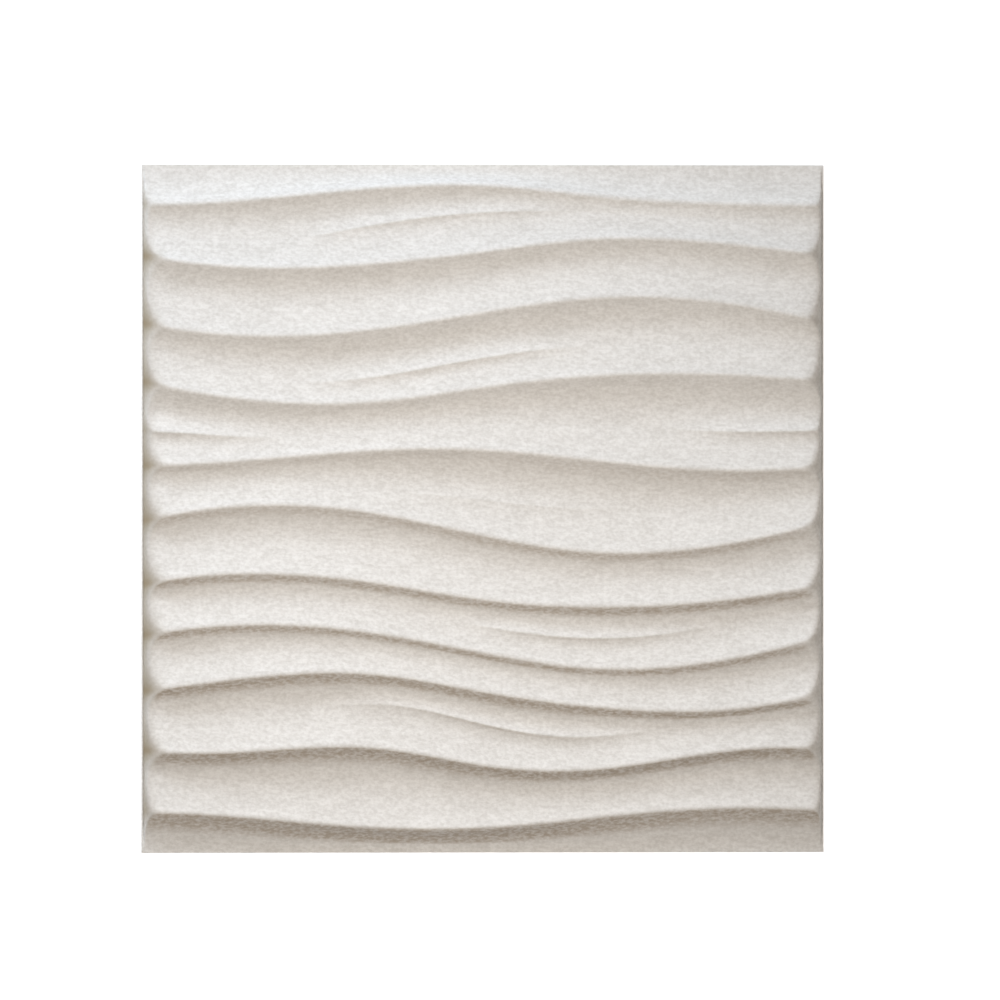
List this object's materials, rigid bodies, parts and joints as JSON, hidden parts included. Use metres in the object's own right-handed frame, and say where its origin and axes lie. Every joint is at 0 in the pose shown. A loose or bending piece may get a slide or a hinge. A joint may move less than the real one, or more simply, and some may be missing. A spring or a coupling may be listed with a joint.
{
  "type": "3d wall panel tile",
  "caption": "Square wall panel tile with a swaying wave relief, moulded as a thin off-white fibre shell with an open back and a narrow flat rim.",
  "frame": {"origin": "middle of the back plane, on which the flat rim rests", "axes": "+X along the waves to the picture's right, +Y to the panel's top edge, +Z out of the wave face"},
  "size_m": [0.5, 0.5, 0.0201],
  "materials": {
    "moulded_fibre": "matte, fibrous, unpainted off-white"
  },
  "bodies": {
    "root": {"wave_panel": "moulded_fibre"}
  },
  "joints": []
}
